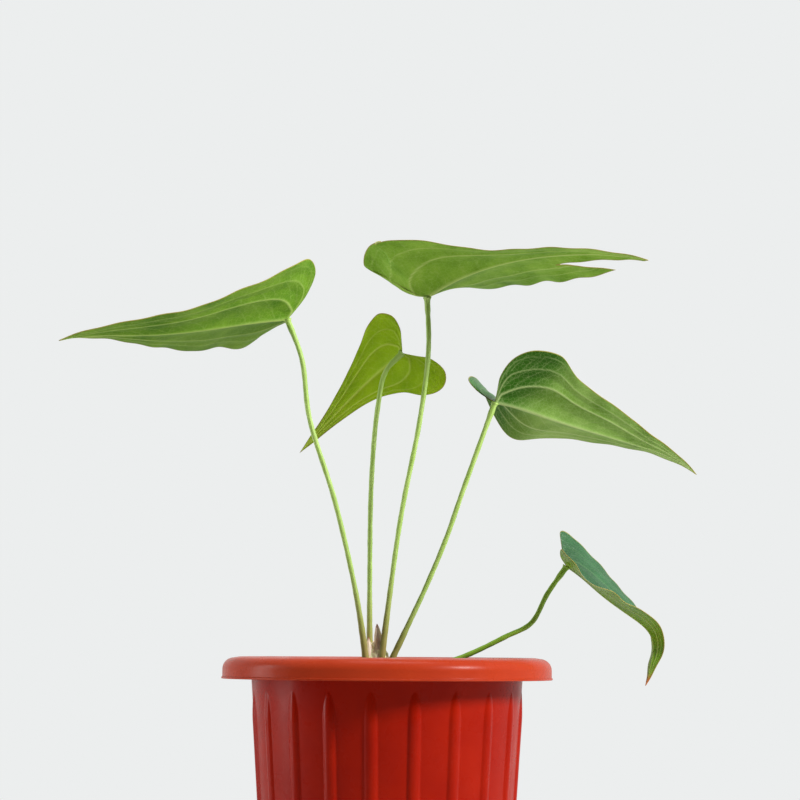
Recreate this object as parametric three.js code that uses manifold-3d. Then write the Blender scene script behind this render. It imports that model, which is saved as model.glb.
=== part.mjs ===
// Potted anthurium: a ribbed plastic pot with an overhanging rim, soil, a short crown and five leaves.
// Every leaf is a petiole (its stalk) and a heart-shaped blade. Millimetres, +Z up, front toward -Y.
// The pot stands on z = 0 and its axis is the Z axis.
import * as THREE from 'three';
import { mergeVertices } from 'three/addons/utils/BufferGeometryUtils.js';
import Module from 'manifold-3d';

const wasm = await Module();
wasm.setup();

// ---- driving dimensions -------------------------------------------------------------------------

// the pot
const POT_HEIGHT = 170;
const BODY_TOP_RADIUS = 82.7;
const BODY_TAPER = 11.3;
const RIM_OVERHANG = 16.7;
const WALL = 2;
const FLOOR = 2.6;
const RIM_SKIRT = 13.3;
const RIM_CORNER = 7;
const RIM_DOME = 0.6;
const LIP_OUT = 0.6;
const LIP_HEIGHT = 1.2;
const FOOT_CHAMFER = 1.6;
const MOUTH_ROUND = 1.6;

// the ribs moulded on the outside of the pot
const RIB_COUNT = 20;
const RIB_HEIGHT = 1.5;
const RIB_TURN = -6.3;
const RIB_BOTTOM = 5;
const RIB_POINT_BELOW_RIM = 7;
const RIB_POINT_LENGTH = 17;
const COLUMNS_PER_RIB = 6;

// the drain holes in the floor
const DRAIN_COUNT = 8;
const DRAIN_RADIUS = 5;
const DRAIN_RING = 45;

// the soil
const SOIL_BELOW_RIM = 18;
const SOIL_DIP = 1.5;
const SOIL_SEGMENTS = 72;

// the crown, a short thick stem that the leaves grow from
const CROWN_X = -6;
const CROWN_Y = 1;
const CROWN_ABOVE_SOIL = 24;
const CROWN_DEPTH = 14;

// every piece stands off its neighbour by this much
const CLEARANCE = 0.3;

// the petioles
const PETIOLE_RADIUS = 1.5;
const PETIOLE_BASE_SWELL = 4 / 3;
const PETIOLE_NECK_SWELL = 1.2;
const PETIOLE_SIDES = 12;
const PETIOLE_STEPS = 34;

// the blades
const BLADE_THICKNESS = 0.8;
const BLADE_ROWS = 30;
const BLADE_COLUMNS = 5;
const HALF_WIDTH_REFERENCE = 0.33;
const LOBE_REACH = 0.2;

// ---- the outline of one half of a blade ---------------------------------------------------------
// Each point is [forward along the midrib, out from the midrib], both as a share of the blade's length.
// The half starts in the notch where the petiole joins, goes round the rear lobe and ends at the tip.

const WIDE_HALF = [
  [0, 0], [-0.03, 0.04], [-0.065, 0.11], [-0.07, 0.2], [-0.03, 0.275], [0.06, 0.3],
  [0.21, 0.265], [0.42, 0.205], [0.66, 0.08], [0.86, 0.02], [1, 0],
];
const BROAD_HALF = [
  [0, 0], [-0.03, 0.05], [-0.07, 0.12], [-0.095, 0.21], [-0.03, 0.285], [0.09, 0.305],
  [0.22, 0.27], [0.44, 0.2], [0.66, 0.135], [0.86, 0.065], [1, 0],
];
const TRIM_HALF = [
  [0, 0], [-0.03, 0.05], [-0.07, 0.12], [-0.08, 0.21], [-0.02, 0.27], [0.1, 0.285],
  [0.24, 0.26], [0.44, 0.19], [0.66, 0.11], [0.86, 0.04], [1, 0],
];
const SMALL_LOBE_HALF = [
  [0, 0], [-0.015, 0.06], [-0.03, 0.13], [-0.01, 0.215], [0.06, 0.285], [0.15, 0.295],
  [0.27, 0.22], [0.45, 0.17], [0.7, 0.085], [0.87, 0.03], [1, 0],
];
const CURLED_LOBE_HALF = [
  [0, 0], [-0.03, 0.04], [-0.07, 0.07], [-0.095, 0.115], [-0.05, 0.175], [0.055, 0.23],
  [0.2, 0.235], [0.34, 0.2], [0.52, 0.135], [0.7, 0.085], [0.87, 0.04], [1, 0],
];
const LONG_LOBE_HALF = [
  [0, 0], [-0.05, 0.06], [-0.12, 0.11], [-0.2, 0.15], [-0.255, 0.19], [-0.18, 0.285],
  [0.02, 0.325], [0.23, 0.255], [0.42, 0.16], [0.66, 0.12], [0.85, 0.055], [1, 0],
];
const HOOD_HALF = [
  [0, 0], [-0.05, 0.05], [-0.1, 0.12], [-0.17, 0.21], [-0.13, 0.255], [-0.02, 0.28],
  [0.14, 0.28], [0.3, 0.245], [0.48, 0.18], [0.68, 0.1], [0.86, 0.04], [1, 0],
];
const TORN_HALF = [
  [0, 0], [-0.03, 0.04], [-0.06, 0.1], [-0.07, 0.18], [-0.02, 0.25], [0.06, 0.285],
  [0.2, 0.275], [0.45, 0.235], [0.7, 0.18], [0.88, 0.09], [1, 0],
];
const ARROW_HALF_LEFT = [
  [0, 0], [-0.05, 0.06], [-0.1, 0.13], [-0.11, 0.22], [-0.04, 0.28], [0.08, 0.26],
  [0.22, 0.19], [0.42, 0.115], [0.66, 0.055], [0.88, 0.02], [1, 0],
];
const ARROW_HALF_RIGHT = [
  [0, 0], [-0.06, 0.06], [-0.13, 0.14], [-0.15, 0.25], [-0.07, 0.32], [0.06, 0.29],
  [0.18, 0.19], [0.38, 0.105], [0.66, 0.05], [0.88, 0.02], [1, 0],
];

// ---- the five leaves ----------------------------------------------------------------------------
// Places are measured from the crown's axis and the soil's surface. at: where the petiole meets the
// blade. foot: the petiole's first two points, out from the crown's axis in radii of the petiole's base.
// stalk: the points it passes through after that. length: from the petiole's joint to the tip. heading:
// compass of the midrib in degrees, 0 = +X, 90 = +Y. pitch: its rise. roll: how far the left half is
// turned up about the midrib. Heading and roll run from the joint to the tip, as pitch does; lobePitch is
// the pitch behind the joint. fold: how far each half lifts off the rolled plane, from its rear lobe to
// the tip. wave: how far the margin swings up and down, how many times, and where it starts in degrees.

const LEAVES = {
  left: {
    at: [-56, -13, 222],
    foot: [[-3, -2.2, 2], [-3.3, -2.3, 13]],
    stalk: [[-12.5, -7, 53], [-26, -11, 111], [-42, -13, 162], [-47, -13, 198]],
    length: 150,
    heading: [214, 209, 205],
    pitch: [-8, -12, -9, -3, -12],
    lobePitch: -15,
    roll: [24, 20, 16],
    left: { outline: BROAD_HALF, fold: [36, 16, 8, 8, 8], wave: [1, 3, 90] },
    right: { outline: WIDE_HALF, fold: [40, 9, 6, 4, 2, 2], wave: [1.8, 3.2, -110] },
  },
  top: {
    at: [29, -6, 237],
    foot: [[0.9, -3.2, 2], [1.2, -3.2, 13]],
    stalk: [[6, -6, 45], [14, -6, 104], [25, -6, 162], [30, -6, 205]],
    length: 149,
    heading: [-34, -28, -20],
    pitch: [26, 14, 4, -3, -12],
    lobePitch: -4,
    roll: [-10, -10],
    left: { outline: TORN_HALF, fold: [55, 15, -3, -12, -12], wave: [1.2, 5, 0] },
    right: { outline: LONG_LOBE_HALF, fold: [44, 24, 0, -4, -2], wave: [0, 0, 0] },
  },
  middle: {
    at: [14, 21, 205.5],
    foot: [[-2.2, 2.7, 2], [-2.3, 2.8, 13]],
    stalk: [[-5, 7, 68], [-4.4, 11, 125], [-1, 15, 170], [4, 19, 194]],
    length: 101,
    heading: [140, 145],
    pitch: [-28, -37, -40],
    lobePitch: -30,
    roll: [62, 62],
    left: { outline: ARROW_HALF_LEFT, fold: [0, 0], wave: [0, 0, 0] },
    right: { outline: ARROW_HALF_RIGHT, fold: [0, 0], wave: [0, 0, 0] },
  },
  right: {
    at: [70.3, -13, 172],
    foot: [[2.8, -2.2, 2], [3.8, -2.4, 13]],
    stalk: [[15.6, -6, 31], [29, -7, 60], [41, -9, 89], [51, -11, 118]],
    length: 148,
    heading: [25, 25],
    pitch: [-8, -15, -13, -13, -15, -34],
    lobePitch: -8,
    roll: [-32, -32],
    left: { outline: CURLED_LOBE_HALF, fold: [94, 62, 14, 22, 28, 32, 22], wave: [0.8, 3, 30] },
    right: { outline: SMALL_LOBE_HALF, fold: [18, 17, 14, 8, 5], wave: [1.5, 3.2, 150] },
  },
  low: {
    at: [114.7, -1, 73.7],
    foot: [[2, 2, 3.5], [7, 1.5, 5.5]],
    stalk: [[28, 1, 11], [53, -1, 19], [78, -2, 31], [93, -1, 39], [103, -1, 57]],
    length: 98,
    heading: [-5, -5, 0, 30, 50],
    pitch: [-35, -42, -36, -42, -100, -116],
    lobePitch: -38,
    roll: [0, 0],
    left: { outline: HOOD_HALF, fold: [44, 30, 27, 28, 15], wave: [0, 0, 0] },
    right: { outline: TRIM_HALF, fold: [30, 2, 15, 25, 12], wave: [1.4, 4, 0] },
  },
};

// the tear in the top leaf's far half, as a wedge between two lines that meet at its inner end
const TEAR = { end: [0.58, 0.075], besideMidrib: [1.06, 0.004], besideFlap: [0.90, 0.13] };

// the two dry bracts that stand in the crown: out from its axis and wide in radii of a petiole's base
const BRACTS = {
  inner: { path: [[0, -0.2, 8], [-0.05, -0.4, 24], [-0.2, -0.6, 38]], width: 1.4, flatness: 0.6 },
  outer: { path: [[-2, 0, 6], [-2.3, 0.1, 18], [-2.7, 0.1, 29.5]], width: 1, flatness: 0.55 },
};

const COLOURS = {
  pot: 0xb8401f,
  soil: 0x3a2c22,
  crown: 0x9d9a72,
  bract: 0xa8836a,
  petiole: 0x8fa860,
  blade: 0x5f8a35,
  paleBlade: 0x7fa02c,
};

// ---- mathematics --------------------------------------------------------------------------------

const radians = THREE.MathUtils.degToRad;

// the smooth course through four neighbouring values
function blend(p0, p1, p2, p3, f) {
  const line = 2 * p1 + (p2 - p0) * f;
  const square = (2 * p0 - 5 * p1 + 4 * p2 - p3) * f * f;
  const cube = (3 * p1 - p0 - 3 * p2 + p3) * f * f * f;
  return 0.5 * (line + square + cube);
}

// a smooth course through evenly spaced values, t from 0 to 1
function course(values, t) {
  const last = values.length - 1;
  const x = THREE.MathUtils.clamp(t, 0, 1) * last;
  const i = Math.min(Math.floor(x), last - 1);
  return blend(values[Math.max(i - 1, 0)], values[i], values[i + 1], values[Math.min(i + 2, last)], x - i);
}

// the point at t (0 to 1) on a smooth line through an outline's points
function outlinePoint(points, t) {
  const last = points.length - 1;
  const x = t * last;
  const i = Math.min(Math.floor(x), last - 1);
  return [0, 1].map((k) => {
    const p1 = points[i][k];
    const p2 = points[i + 1][k];
    const p0 = i === 0 ? 2 * p1 - p2 : points[i - 1][k];
    const p3 = i === last - 1 ? 2 * p2 - p1 : points[i + 2][k];
    return blend(p0, p1, p2, p3, x - i);
  });
}

// ---- solids -------------------------------------------------------------------------------------

function toManifold(geometry) {
  const plain = geometry.clone();
  plain.deleteAttribute('normal');
  plain.deleteAttribute('uv');
  const merged = mergeVertices(plain, 1e-4);
  return new wasm.Manifold(new wasm.Mesh({
    numProp: 3,
    vertProperties: new Float32Array(merged.attributes.position.array),
    triVerts: new Uint32Array(merged.index.array),
  }));
}

function fromManifold(solid) {
  const mesh = solid.getMesh();
  const geometry = new THREE.BufferGeometry();
  geometry.setAttribute('position', new THREE.BufferAttribute(new Float32Array(mesh.vertProperties), 3));
  geometry.setIndex(new THREE.BufferAttribute(new Uint32Array(mesh.triVerts), 1));
  return geometry;
}

function cut(geometry, tools) {
  return fromManifold(tools.reduce((solid, tool) => solid.subtract(toManifold(tool)), toManifold(geometry)));
}

// a closed sheet between two grids of points; a row or a column may shrink to one point
function closedSheet(front, back) {
  const rows = front.length;
  const columns = front[0].length;
  const positions = [];
  const addFace = (a, b, c) => positions.push(...a.toArray(), ...b.toArray(), ...c.toArray());
  const addQuad = (a, b, c, d) => {
    const same = (p, q) => p.distanceToSquared(q) < 1e-8;
    if (!same(a, b) && !same(b, c) && !same(c, a)) addFace(a, b, c);
    if (!same(a, c) && !same(c, d) && !same(d, a)) addFace(a, c, d);
  };
  for (let r = 0; r < rows - 1; r += 1) {
    for (let c = 0; c < columns - 1; c += 1) {
      addQuad(front[r][c], front[r][c + 1], front[r + 1][c + 1], front[r + 1][c]);
      addQuad(back[r][c], back[r + 1][c], back[r + 1][c + 1], back[r][c + 1]);
    }
  }
  const lastColumn = columns - 1;
  for (let r = 0; r < rows - 1; r += 1) {
    addQuad(front[r][0], front[r + 1][0], back[r + 1][0], back[r][0]);
    addQuad(front[r][lastColumn], back[r][lastColumn], back[r + 1][lastColumn], front[r + 1][lastColumn]);
  }
  const lastRow = rows - 1;
  for (let c = 0; c < columns - 1; c += 1) {
    addQuad(front[0][c], back[0][c], back[0][c + 1], front[0][c + 1]);
    addQuad(front[lastRow][c], front[lastRow][c + 1], back[lastRow][c + 1], back[lastRow][c]);
  }
  const geometry = new THREE.BufferGeometry();
  geometry.setAttribute('position', new THREE.Float32BufferAttribute(positions, 3));
  return mergeVertices(geometry, 1e-4);
}

// a round rod with its own radius all along, bent to follow a curve
function bentRod(points, radiusAt, grow, sides, steps, flatness = 1) {
  const curve = new THREE.CatmullRomCurve3(points.map((p) => new THREE.Vector3(...p)));
  const length = curve.getLength();
  const profile = [new THREE.Vector2(0, -grow)];
  for (let i = 0; i <= steps; i += 1) {
    const y = -grow + (length + 2 * grow) * (i / steps);
    profile.push(new THREE.Vector2(radiusAt(i / steps) + grow, y));
  }
  profile.push(new THREE.Vector2(0, length + grow));
  const geometry = new THREE.LatheGeometry(profile, sides);
  const frames = curve.computeFrenetFrames(steps, false);
  const position = geometry.attributes.position;
  const p = new THREE.Vector3();
  for (let i = 0; i < position.count; i += 1) {
    p.fromBufferAttribute(position, i);
    const t = THREE.MathUtils.clamp(p.y / length, 0, 1);
    const along = p.y - t * length;
    const k = Math.min(Math.floor(t * steps), steps - 1);
    const f = t * steps - k;
    const normal = frames.normals[k].clone().lerp(frames.normals[k + 1], f).normalize();
    const tangent = curve.getTangentAt(t);
    const side = new THREE.Vector3().crossVectors(tangent, normal).normalize();
    const bent = curve.getPointAt(t).addScaledVector(normal, p.x).addScaledVector(side, -p.z * flatness);
    bent.addScaledVector(tangent, along);
    position.setXYZ(i, bent.x, bent.y, bent.z);
  }
  return geometry;
}

// ---- the pot ------------------------------------------------------------------------------------

const SEGMENTS = RIB_COUNT * COLUMNS_PER_RIB;
const RIM_RADIUS = BODY_TOP_RADIUS + RIM_OVERHANG;
const BASE_RADIUS = BODY_TOP_RADIUS - BODY_TAPER;
const RIM_BOTTOM = POT_HEIGHT - RIM_SKIRT;
const RIM_CEILING = POT_HEIGHT - RIM_DOME - WALL;
const TAPER = (BODY_TOP_RADIUS - BASE_RADIUS) / POT_HEIGHT;
const bodyRadius = (z) => BASE_RADIUS + TAPER * z;
const innerRadius = (z) => bodyRadius(z) - WALL;

function potProfile() {
  const profile = [];
  const add = (radius, z) => profile.push(new THREE.Vector2(radius, z));
  const ribTop = RIM_BOTTOM - RIB_POINT_BELOW_RIM;
  add(0, 0);
  add(BASE_RADIUS - FOOT_CHAMFER, 0);
  add(bodyRadius(FOOT_CHAMFER), FOOT_CHAMFER);
  add(bodyRadius(RIB_BOTTOM), RIB_BOTTOM);
  add(bodyRadius(RIB_BOTTOM + RIB_HEIGHT), RIB_BOTTOM + RIB_HEIGHT);
  add(bodyRadius(ribTop - RIB_POINT_LENGTH), ribTop - RIB_POINT_LENGTH);
  add(bodyRadius(ribTop), ribTop);
  add(bodyRadius(RIM_CEILING), RIM_CEILING);
  // the hollow under the rim, then the skirt and its thin lip
  add(RIM_RADIUS - WALL, RIM_CEILING);
  add(RIM_RADIUS - WALL, RIM_BOTTOM);
  add(RIM_RADIUS + LIP_OUT, RIM_BOTTOM);
  add(RIM_RADIUS + LIP_OUT, RIM_BOTTOM + LIP_HEIGHT);
  add(RIM_RADIUS, RIM_BOTTOM + LIP_HEIGHT + LIP_OUT);
  // the rounded top corner
  const cornerSteps = 5;
  const cornerTop = POT_HEIGHT - RIM_DOME;
  for (let i = 0; i <= cornerSteps; i += 1) {
    const turn = (Math.PI / 2) * (i / cornerSteps);
    const radius = RIM_RADIUS - RIM_CORNER + RIM_CORNER * Math.cos(turn);
    add(radius, cornerTop - RIM_CORNER + RIM_CORNER * Math.sin(turn));
  }
  // the nearly flat top, rounded over into the mouth
  const mouth = innerRadius(POT_HEIGHT);
  add((mouth + RIM_RADIUS - RIM_CORNER) / 2, POT_HEIGHT);
  add(mouth + MOUTH_ROUND, cornerTop);
  add(mouth, cornerTop - MOUTH_ROUND);
  add(innerRadius(FLOOR), FLOOR);
  add(0, FLOOR);
  return profile;
}

// how far a rib stands out of the wall at an angle (degrees from the front) and height
function ribLift(angle, z) {
  const pitch = 360 / RIB_COUNT;
  const offset = Math.abs(THREE.MathUtils.euclideanModulo(angle - RIB_TURN + pitch / 2, pitch) - pitch / 2);
  const column = pitch / COLUMNS_PER_RIB;
  const across = Math.max(0, 1 - offset / column);
  const ribTop = RIM_BOTTOM - RIB_POINT_BELOW_RIM;
  const low = THREE.MathUtils.clamp((z - RIB_BOTTOM) / RIB_HEIGHT, 0, 1);
  const high = THREE.MathUtils.clamp((ribTop - z) / RIB_POINT_LENGTH, 0, 1);
  return RIB_HEIGHT * across * Math.min(low, high);
}

function potGeometry() {
  const geometry = new THREE.LatheGeometry(potProfile(), SEGMENTS);
  // the lathe turns about Y: stand it up and turn the first column of vertices onto a rib
  geometry.rotateX(Math.PI / 2);
  geometry.rotateZ(radians(RIB_TURN));
  const position = geometry.attributes.position;
  const edge = 0.05;
  for (let i = 0; i < position.count; i += 1) {
    const x = position.getX(i);
    const y = position.getY(i);
    const z = position.getZ(i);
    const radius = Math.hypot(x, y);
    const outside = Math.abs(radius - bodyRadius(z)) < edge && z < RIM_BOTTOM;
    if (!outside) continue;
    const angle = THREE.MathUtils.radToDeg(Math.atan2(x, -y));
    const grown = (radius + ribLift(angle, z)) / radius;
    position.setXYZ(i, x * grown, y * grown, z);
  }
  const drains = [];
  for (let i = 0; i < DRAIN_COUNT; i += 1) {
    const turn = (i / DRAIN_COUNT) * Math.PI * 2;
    const drill = new THREE.CylinderGeometry(DRAIN_RADIUS, DRAIN_RADIUS, FLOOR * 3, 24);
    drill.rotateX(Math.PI / 2);
    drill.translate(DRAIN_RING * Math.cos(turn), DRAIN_RING * Math.sin(turn), FLOOR / 2);
    drains.push(drill);
  }
  return cut(geometry, drains);
}

// ---- the soil and the crown ---------------------------------------------------------------------

const SOIL_TOP = POT_HEIGHT - SOIL_BELOW_RIM;
const PETIOLE_BASE_RADIUS = PETIOLE_RADIUS * PETIOLE_BASE_SWELL;
const CROWN_RADIUS = PETIOLE_BASE_RADIUS * 4;
const CROWN_TOP_RADIUS = PETIOLE_BASE_RADIUS * 2.1;

// a place measured from the crown's axis and the soil's surface
const fromCrown = ([x, y, z]) => [CROWN_X + x, CROWN_Y + y, SOIL_TOP + z];

// the same, with its two level measures in radii of a petiole's base
const inBaseRadii = ([x, y, z]) => fromCrown([x * PETIOLE_BASE_RADIUS, y * PETIOLE_BASE_RADIUS, z]);

// the crown's plain round shape, which the soil's socket is cut with as well
function crownBlank(grow) {
  const bottom = SOIL_TOP - CROWN_DEPTH - grow;
  const top = SOIL_TOP + CROWN_ABOVE_SOIL + grow;
  const shoulder = SOIL_TOP + CROWN_ABOVE_SOIL * 0.4;
  const profile = [
    new THREE.Vector2(0, bottom),
    new THREE.Vector2(CROWN_RADIUS * 0.7 + grow, bottom),
    new THREE.Vector2(CROWN_RADIUS + grow, bottom + CROWN_DEPTH / 3),
    new THREE.Vector2(CROWN_RADIUS + grow, shoulder),
    new THREE.Vector2((CROWN_RADIUS + CROWN_TOP_RADIUS) / 2 + grow, top - CROWN_ABOVE_SOIL * 0.2),
    new THREE.Vector2(CROWN_TOP_RADIUS * 0.7 + grow, top),
    new THREE.Vector2(0, top),
  ];
  const geometry = new THREE.LatheGeometry(profile, 28);
  geometry.rotateX(Math.PI / 2);
  geometry.translate(CROWN_X, CROWN_Y, 0);
  return geometry;
}

function soilGeometry() {
  const bottom = FLOOR + CLEARANCE;
  const rim = SOIL_TOP + SOIL_DIP;
  // a faceted wall comes closest to the axis in the middle of a facet
  const facet = Math.cos(Math.PI / SOIL_SEGMENTS);
  const radiusAt = (z) => (innerRadius(z) - CLEARANCE) * facet;
  const profile = [
    new THREE.Vector2(0, bottom),
    new THREE.Vector2(radiusAt(bottom), bottom),
    new THREE.Vector2(radiusAt(rim), rim),
    new THREE.Vector2(radiusAt(rim) * 0.7, SOIL_TOP),
    new THREE.Vector2(0, SOIL_TOP),
  ];
  const geometry = new THREE.LatheGeometry(profile, SOIL_SEGMENTS);
  geometry.rotateX(Math.PI / 2);
  return cut(geometry, [crownBlank(CLEARANCE)]);
}

// ---- the leaves ---------------------------------------------------------------------------------

const SPINE_STEPS = 280;
const SPINE_START = -0.4;

// the midrib's points and directions, run on behind the petiole's joint for the rear lobes
function spine(leaf) {
  const step = (1 - SPINE_START) / SPINE_STEPS;
  const stations = [];
  const point = new THREE.Vector3();
  for (let i = 0; i <= SPINE_STEPS; i += 1) {
    const a = SPINE_START + step * i;
    const behind = THREE.MathUtils.clamp(-a / 0.12, 0, 1);
    const pitch = radians(THREE.MathUtils.lerp(course(leaf.pitch, a), leaf.lobePitch, behind));
    const heading = radians(course(leaf.heading, a));
    const roll = radians(course(leaf.roll, a));
    const level = Math.cos(pitch);
    const forward = new THREE.Vector3(Math.cos(heading) * level, Math.sin(heading) * level, Math.sin(pitch));
    const flatSide = new THREE.Vector3(-Math.sin(heading), Math.cos(heading), 0);
    const flatUp = new THREE.Vector3().crossVectors(forward, flatSide);
    const side = flatSide.clone().multiplyScalar(Math.cos(roll)).addScaledVector(flatUp, Math.sin(roll));
    const up = flatUp.clone().multiplyScalar(Math.cos(roll)).addScaledVector(flatSide, -Math.sin(roll));
    if (i > 0) {
      const middle = forward.clone().add(stations[i - 1].forward).multiplyScalar(0.5);
      point.addScaledVector(middle, step * leaf.length);
    }
    stations.push({ a, point: point.clone(), forward, side, up });
  }
  const joint = stations[Math.round(-SPINE_START / step)].point.clone();
  const shift = new THREE.Vector3(...fromCrown(leaf.at)).sub(joint);
  stations.forEach((station) => station.point.add(shift));
  return stations;
}

function stationAt(stations, a) {
  const x = THREE.MathUtils.clamp((a - SPINE_START) / (1 - SPINE_START), 0, 1) * SPINE_STEPS;
  const i = Math.min(Math.floor(x), SPINE_STEPS - 1);
  const mix = (key) => stations[i][key].clone().lerp(stations[i + 1][key], x - i);
  return { point: mix('point'), side: mix('side').normalize(), up: mix('up').normalize() };
}

// the point of the bent blade at a share a along the midrib and b out to the side, left positive
function bladePoint(leaf, stations, a, b) {
  const half = b >= 0 ? leaf.left : leaf.right;
  const out = Math.abs(b) / HALF_WIDTH_REFERENCE;
  const station = stationAt(stations, a);
  const lift = radians(course(half.fold, (a + LOBE_REACH) / (1 + LOBE_REACH)));
  const distance = Math.abs(b) * leaf.length;
  const [swing, turns, start] = half.wave;
  const wave = swing * Math.sin(2 * Math.PI * turns * a + radians(start)) * out ** 1.5;
  return station.point
    .addScaledVector(station.side, Math.sign(b) * distance * Math.cos(lift))
    .addScaledVector(station.up, distance * Math.sin(lift) + wave);
}

// the square direction off the blade's upper face
function bladeNormal(leaf, stations, a, b) {
  const small = 0.01;
  const [back, front] = [a - small, a + small].map((v) => bladePoint(leaf, stations, v, b));
  const [right, left] = [b - small, b + small].map((v) => bladePoint(leaf, stations, a, v));
  return front.sub(back).cross(left.sub(right)).normalize();
}

// where a row of the blade's grid starts on the midrib, t from 0 at the notch to 1 at the tip
function midribShare(t) {
  return Math.max(0.02 * t, (Math.max(0, t - 0.33) / 0.67) ** 1.1);
}

function bladeGeometry(leaf, thickness) {
  const stations = spine(leaf);
  const faces = [0.5, -0.5].map((face) => {
    const rows = [];
    for (let r = 0; r <= BLADE_ROWS; r += 1) {
      const t = r / BLADE_ROWS;
      const start = midribShare(t);
      const row = [];
      for (let c = -BLADE_COLUMNS; c <= BLADE_COLUMNS; c += 1) {
        const half = c <= 0 ? leaf.left : leaf.right;
        const share = Math.abs(c) / BLADE_COLUMNS;
        const [forward, out] = outlinePoint(half.outline, t);
        const a = THREE.MathUtils.lerp(start, forward, share);
        const b = Math.max(out, 0) * share * (c <= 0 ? 1 : -1);
        const normal = bladeNormal(leaf, stations, a, b);
        row.push(bladePoint(leaf, stations, a, b).addScaledVector(normal, face * thickness));
      }
      rows.push(row);
    }
    return rows;
  });
  return closedSheet(faces[0], faces[1]);
}

// the tear, as a wedge that stands through the blade
function tearGeometry(leaf) {
  const stations = spine(leaf);
  const corners = [TEAR.end, TEAR.besideMidrib, TEAR.besideFlap];
  const depth = 14;
  const points = corners.map(([a, b]) => bladePoint(leaf, stations, a, b));
  const normal = bladeNormal(leaf, stations, TEAR.end[0], TEAR.end[1]);
  const lower = points.map((p) => p.clone().addScaledVector(normal, -depth));
  const upper = points.map((p) => p.clone().addScaledVector(normal, depth));
  const grid = ([inner, midribSide, flapSide]) => [[inner, midribSide], [inner, flapSide]];
  return closedSheet(grid(upper), grid(lower));
}

function petioleGeometry(leaf, grow) {
  const smooth = THREE.MathUtils.smoothstep;
  const radiusAt = (t) => {
    const base = (PETIOLE_BASE_RADIUS - PETIOLE_RADIUS) * (1 - smooth(t, 0.04, 0.3));
    const neck = PETIOLE_RADIUS * (PETIOLE_NECK_SWELL - 1) * smooth(t, 0.9, 0.97);
    return PETIOLE_RADIUS + base + neck;
  };
  const points = [...leaf.foot.map(inBaseRadii), ...leaf.stalk.map(fromCrown), fromCrown(leaf.at)];
  return bentRod(points, radiusAt, grow, PETIOLE_SIDES, PETIOLE_STEPS);
}

// the petiole, cut off square to the blade just under it
function seatedPetiole(leaf) {
  const size = 30;
  const block = new THREE.BoxGeometry(size, size, size);
  const stations = spine(leaf);
  const { point, side, up } = stationAt(stations, 0);
  const forward = new THREE.Vector3().crossVectors(side, up);
  block.applyMatrix4(new THREE.Matrix4().makeBasis(side, up, forward));
  const centre = point.addScaledVector(up, size / 2 - BLADE_THICKNESS / 2 - CLEARANCE);
  block.translate(centre.x, centre.y, centre.z);
  return cut(petioleGeometry(leaf, 0), [block]);
}

function bractGeometry(bract, grow) {
  const radius = bract.width * PETIOLE_BASE_RADIUS;
  const radiusAt = (t) => radius * Math.sqrt(Math.max(0.02, 1 - t ** 2.2));
  return bentRod(bract.path.map(inBaseRadii), radiusAt, grow, 12, 12, bract.flatness);
}

function crownGeometry() {
  const stalks = Object.values(LEAVES).map((leaf) => petioleGeometry(leaf, CLEARANCE));
  const bracts = Object.values(BRACTS).map((bract) => bractGeometry(bract, CLEARANCE));
  return cut(crownBlank(0), [...stalks, ...bracts]);
}

// ---- the object ---------------------------------------------------------------------------------

const plant = new THREE.Group();
plant.name = 'potted_anthurium';

function add(name, geometry, colour, roughness) {
  const material = new THREE.MeshStandardMaterial({ color: colour, roughness, metalness: 0 });
  const mesh = new THREE.Mesh(geometry, material);
  mesh.name = name;
  geometry.computeVertexNormals();
  plant.add(mesh);
}

add('pot', potGeometry(), COLOURS.pot, 0.35);
add('soil', soilGeometry(), COLOURS.soil, 0.95);
add('crown', crownGeometry(), COLOURS.crown, 0.7);
Object.entries(BRACTS).forEach(([name, bract]) => {
  add(`bract_${name}`, bractGeometry(bract, 0), COLOURS.bract, 0.8);
});
Object.entries(LEAVES).forEach(([name, leaf]) => {
  add(`petiole_${name}`, seatedPetiole(leaf), COLOURS.petiole, 0.5);
  const whole = bladeGeometry(leaf, BLADE_THICKNESS);
  const blade = name === 'top' ? cut(whole, [tearGeometry(leaf)]) : whole;
  add(`blade_${name}`, blade, name === 'middle' ? COLOURS.paleBlade : COLOURS.blade, 0.45);
});

export default plant;
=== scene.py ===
"""The looks of the potted anthurium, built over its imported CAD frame. Metres, +Z up, front toward -Y."""

import math
import random

import bpy
import numpy as np
from mathutils import Matrix, Vector, geometry, noise


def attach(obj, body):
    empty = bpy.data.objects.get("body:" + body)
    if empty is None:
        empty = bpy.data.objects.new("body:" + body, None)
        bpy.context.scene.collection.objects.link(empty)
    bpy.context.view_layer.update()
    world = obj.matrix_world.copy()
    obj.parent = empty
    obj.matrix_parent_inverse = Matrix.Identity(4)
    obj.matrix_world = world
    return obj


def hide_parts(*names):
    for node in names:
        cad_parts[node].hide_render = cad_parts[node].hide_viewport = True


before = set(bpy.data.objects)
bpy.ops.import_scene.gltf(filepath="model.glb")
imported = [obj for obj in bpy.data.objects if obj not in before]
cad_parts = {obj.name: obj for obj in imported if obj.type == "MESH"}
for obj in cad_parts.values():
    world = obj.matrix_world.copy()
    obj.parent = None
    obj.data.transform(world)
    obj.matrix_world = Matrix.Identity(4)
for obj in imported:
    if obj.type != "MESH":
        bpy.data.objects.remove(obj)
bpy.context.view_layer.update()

MM = 0.001
rng = random.Random(7)

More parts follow.
